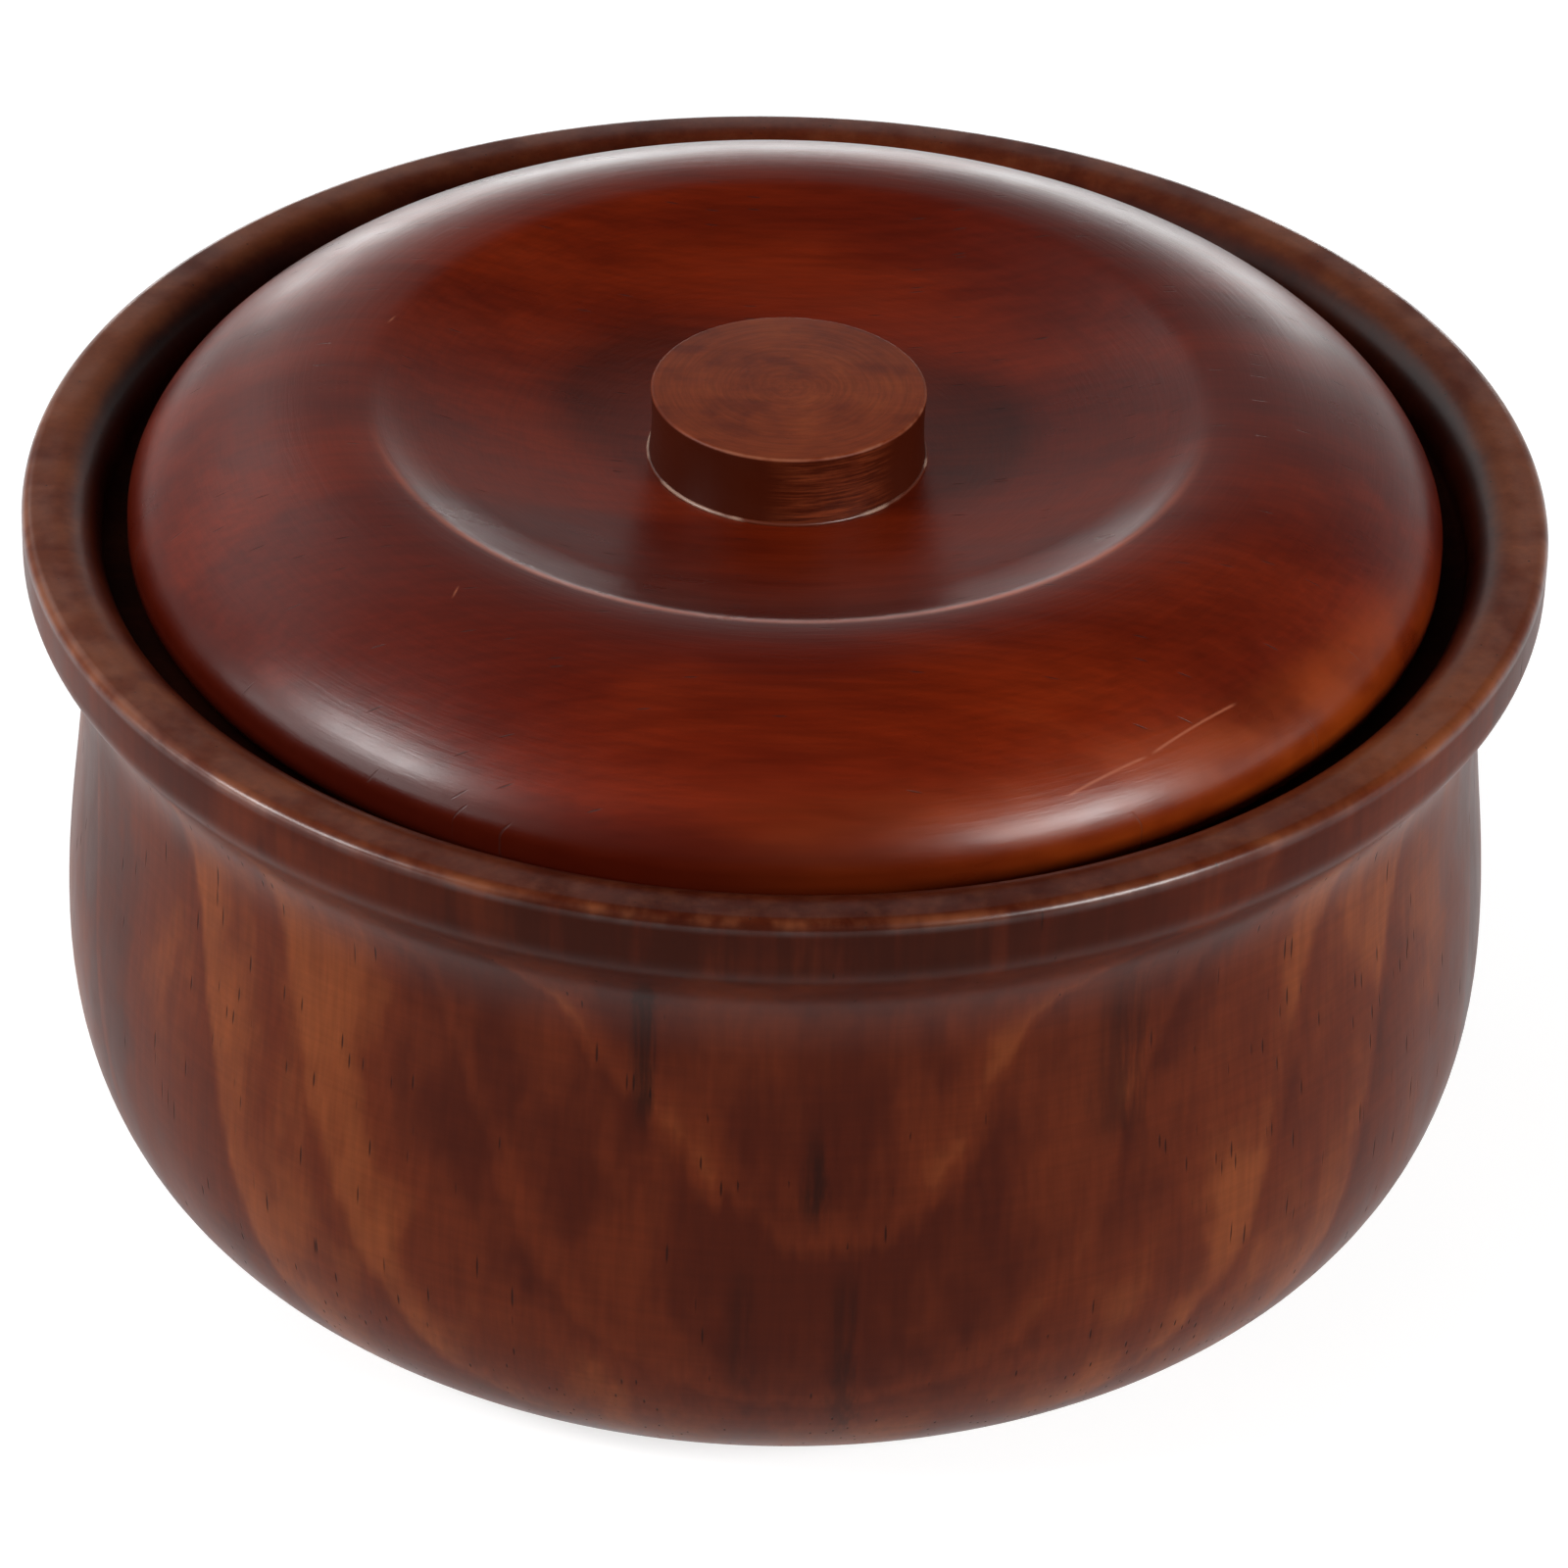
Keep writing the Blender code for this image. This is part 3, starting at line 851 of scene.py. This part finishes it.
BOWL_WOOD = dict(
    UPRIGHT,
    ring_direction=(0.06, -1, 0.25),
    rings=(
        (52, 0.6), (58, 0.45), (63, 0.3), (64.4, 0.8), (66, 0.75), (69, 0.6), (74, 0.5),
        (76.2, 0.36), (77.8, 0.8), (79.5, 0.75), (82, 0.6), (86, 0.42),
        (88.8, 0.12), (89.6, 0.35), (91, 0.12), (96.1, 0.0), (96.7, 0.5), (97.4, 0.34),
        (98.3, 0.1), (100.6, 0.15), (104, 0.2), (112, 0.6),
    ),
    band=bowl_band,
    warp=1.0,
    ripple=0.25,
    blotch=0.24,
    cloud=0.17,
    tone=rim_tone_and_side_light,
    dark=linear(56, 17, 6),
    middle=linear(75, 28, 11),
    light=linear(102, 50, 24),
    fibre_shade=0.10,
    turning_line=lambda finish: finish.z,
    turning_rate=0.9,
    turning_breaks=4.0,
    turning_shade=0.06,
    turning_relief=0.25,
    pore=linear(22, 7, 4),
    pore_size=0.22,
    pore_chance=0.03,
    pore_chance_band=0.5,
    streaks=(
        (-14.0, 57, 80, 0.9, 0.75),
        (5.5, 45, 58, 0.9, 0.75),
        (9.3, 12, 40, 1.1, 0.5),
        (39.0, 51, 75, 2.0, 0.5),
        (-2.6, 21, 40, 1.0, 0.4),
    ),
    wear_and_painted_light=(
        # painted shade on the lip's front face
        (lip_front_shade, linear(38, 10, 3)),
        # rubbed-thin stain and painted highlight on the lip's top edge
        (lip_wear_and_highlight, linear(120, 66, 36)),
        (rim_wear, linear(104, 56, 35)),
    ),
    coat=lip_coat,
    dull=seat_dull,
    roughness=0.34,
    specular=0.05,
    fibre_relief=0.3,
)
LID_WOOD = dict(
    ACROSS,
    ring_direction=(0.02, -0.12, 1),
    rings=(
        (92.3, 0.2), (93.4, 0.7), (95.5, 0.5), (99.0, 0.3), (100.4, 0.6), (103.5, 0.35),
        (108.3, 0.2),
    ),
    band=lambda finish: 0.3,
    warp=4.0,
    ripple=0.25,
    blotch=0.19,
    cloud=0.10,
    tone=lid_tone,
    dark=linear(74, 15, 3),
    middle=linear(95, 24, 3),
    light=linear(119, 39, 6),
    fibre_shade=0.13,
    turning_line=lambda finish: finish.radius,
    turning_rate=1.6,
    turning_breaks=6.0,
    turning_shade=0.06,
    turning_relief=1.0,
    pore=linear(38, 7, 2),
    pore_size=0.22,
    pore_chance=0.02,
    pore_chance_band=0.08,
    wear_and_painted_light=(
        # rubbed-thin stain and painted warm light on the lid's edge
        (lid_edge_wear_and_glow, linear(138, 56, 10)),
        # painted shade on the lid's lower edge
        (lid_edge_shade, linear(58, 10, 2)),
        # painted highlight on the crease
        (crease_highlight, linear(160, 76, 48)),
    ),
    scratches=(
        ((31.6, -67.8), (41.1, -60.9)),
        ((41.1, -60.9), (51.2, -51.2)),
        ((-37.0, -45.7), (-36.2, -43.2)),
        ((-47.8, 12.8), (-46.7, 15.2)),
    ),
    scratched=linear(150, 84, 60),
    roughness=0.30,
    specular=0.27,
    fibre_relief=0.15,
)
KNOB_WOOD = dict(
    ACROSS,
    ring_direction=(0.1, 0.9, 0.3),
    rings=((3.0, 1.0), (5.7, 0.5), (8.4, 0.1), (11.1, 0.0), (12.0, 1.0)),
    band=lambda finish: 0.15,
    warp=3.0,
    ripple=0.5,
    blotch_scale=(0.12, 0.16, 0.12),
    cloud_scale=(0.25, 0.3, 0.3),
    blotch=0.2,
    cloud=0.16,
    tone=lambda finish: 0.35,
    dark=linear(80, 28, 13),
    middle=linear(104, 43, 20),
    light=linear(120, 55, 26),
    fibre_shade=0.05,
    turning_line=lambda finish: finish.math("ADD", finish.radius, finish.z),
    turning_rate=1.6,
    turning_breaks=1.5,
    turning_shade=0.13,
    turning_relief=0.6,
    pore=linear(36, 13, 7),
    pore_size=0.08,
    pore_chance=0.08,
    pore_chance_band=0.2,
    # the knob's darker side, with painted glow lines at the front right
    # the knob's top edge: rubbed stain and a painted highlight at the front
    wear_and_painted_light=((knob_side_tone_and_glow, linear(54, 13, 2)), (knob_edge_wear_and_highlight, linear(140, 90, 68))),
    roughness=0.45,
    specular=0.12,
    fibre_relief=0.3,
)
BARE_WOOD = dict(
    KNOB_WOOD,
    dark=linear(160, 128, 92),
    middle=linear(178, 146, 108),
    light=linear(194, 164, 124),
    pore=linear(120, 90, 60),
    wear_and_painted_light=(),
    roughness=0.7,
)


def add_pieces():
    """The turned pieces, each on its body and in place of its node."""
    bowl = turned("turned_bowl", bowl_outline(), BIG_SEGMENTS, 0.0)
    bowl.data.materials.append(wood("bowl_wood", BOWL_WOOD))
    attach(bowl, "bowl")
    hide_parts("bowl")

    lid = turned("turned_lid", lid_outline(), BIG_SEGMENTS, LID_SEAT)
    lid.data.materials.append(wood("lid_wood", LID_WOOD))
    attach(lid, "lid")
    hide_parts("lid")

    knob = turned("turned_knob", knob_outline(), KNOB_SEGMENTS, KNOB_FOOT)
    knob.data.materials.append(wood("knob_wood", KNOB_WOOD))
    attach(knob, "lid")
    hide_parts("knob")

    bead = turned("glue_bead", glue_outline(), KNOB_SEGMENTS, KNOB_FOOT)
    bead.data.materials.append(dried_glue())
    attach(bead, "lid")

    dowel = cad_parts["knob_dowel"]
    dowel.data.materials.clear()
    dowel.data.materials.append(wood("dowel_wood", BARE_WOOD))


def add_floor():
    """A white floor that stays white to the eye, and still takes the object's shadow."""
    shape = bmesh.new()
    bmesh.ops.create_circle(shape, cap_ends=True, segments=FLOOR_SEGMENTS, radius=FLOOR_RADIUS)
    mesh = bpy.data.meshes.new("floor")
    shape.to_mesh(mesh)
    shape.free()
    floor = bpy.data.objects.new("floor", mesh)
    bpy.context.scene.collection.objects.link(floor)
    finish = Finish("floor_white")
    tree = finish.tree
    path = finish.node("LightPath").outputs
    seen = finish.math("ADD", path["Is Camera Ray"], path["Is Glossy Ray"])
    seen = finish.math("ADD", seen, path["Is Transmission Ray"], clamp=True)
    colour = finish.mix(seen, (FLOOR_COLOUR,) * 3, (FLOOR_COLOUR * FLOOR_SHADOW,) * 3)
    diffuse = finish.node("BsdfDiffuse", {"Color": colour})
    glow = finish.node("Emission", {"Strength": finish.product(seen, FLOOR_GLOW)})
    both = finish.node("AddShader", {0: diffuse.outputs[0], 1: glow.outputs[0]})
    tree.links.new(both.outputs[0], tree.nodes["Material Output"].inputs["Surface"])
    tree.nodes.remove(finish.shader)
    mesh.materials.append(finish.material)


def add_softbox(name, azimuth, elevation, distance, width, height, radiance):
    """A soft rectangular lamp that looks at the lid from an azimuth and an elevation."""
    turn, rise = math.radians(azimuth), math.radians(elevation)
    level = math.cos(rise)
    out = Vector((level * math.cos(turn), level * math.sin(turn), math.sin(rise)))
    lamp = bpy.data.lights.new(name, "AREA")
    lamp.shape = "RECTANGLE"
    lamp.size = width
    lamp.size_y = height
    lamp.energy = radiance * math.pi * width * height
    holder = bpy.data.objects.new(name, lamp)
    bpy.context.scene.collection.objects.link(holder)
    holder.location = Vector((0, 0, BOWL_HEIGHT)) + out * distance
    holder.rotation_euler = (-out).to_track_quat("-Z", "Y").to_euler()


def add_light():
    """Softboxes at both sides and behind, in a studio with white walls and a dark ceiling."""
    for softbox in SOFTBOXES:
        add_softbox(*softbox)
    world = bpy.data.worlds.new("studio")
    bpy.context.scene.world = world
    world.use_nodes = True
    tree = world.node_tree
    direction = tree.nodes.new("ShaderNodeTexCoord")
    rise = tree.nodes.new("ShaderNodeVectorMath")
    rise.operation = "DOT_PRODUCT"
    rise.inputs[1].default_value = STUDIO_TILT
    walls = tree.nodes.new("ShaderNodeValToRGB")
    tree.links.new(direction.outputs["Generated"], rise.inputs[0])
    tree.links.new(rise.outputs["Value"], walls.inputs[0])
    tree.links.new(walls.outputs[0], tree.nodes["Background"].inputs["Color"])
    across = tree.nodes.new("ShaderNodeSeparateXYZ")
    front = tree.nodes.new("ShaderNodeMapRange")
    front.interpolation_type = "SMOOTHSTEP"
    for socket, value in zip(list(front.inputs)[1:5], (*FRONT_FADE, FRONT_WALL, 1.0)):
        socket.default_value = value
    tree.links.new(direction.outputs["Generated"], across.inputs[0])
    tree.links.new(across.outputs["Y"], front.inputs[0])
    tree.links.new(front.outputs[0], tree.nodes["Background"].inputs["Strength"])
    fill_ramp(walls, STUDIO_WALLS)


def add_camera():
    """The photo's camera."""
    lens = bpy.data.cameras.new("camera")
    lens.sensor_width = SENSOR_WIDTH
    lens.lens = FOCAL_PIXELS / IMAGE_PIXELS * SENSOR_WIDTH
    camera = bpy.data.objects.new("camera", lens)
    bpy.context.scene.collection.objects.link(camera)
    tilt = Matrix.Rotation(math.pi / 2 - CAMERA_ELEVATION, 4, "X")
    roll = Matrix.Rotation(CAMERA_ROLL, 4, "Z")
    camera.matrix_world = Matrix.Translation(CAMERA_PLACE) @ tilt @ roll
    bpy.context.scene.camera = camera


add_pieces()
add_floor()
add_light()
add_camera()
bpy.context.scene.view_settings.view_transform = "Standard"
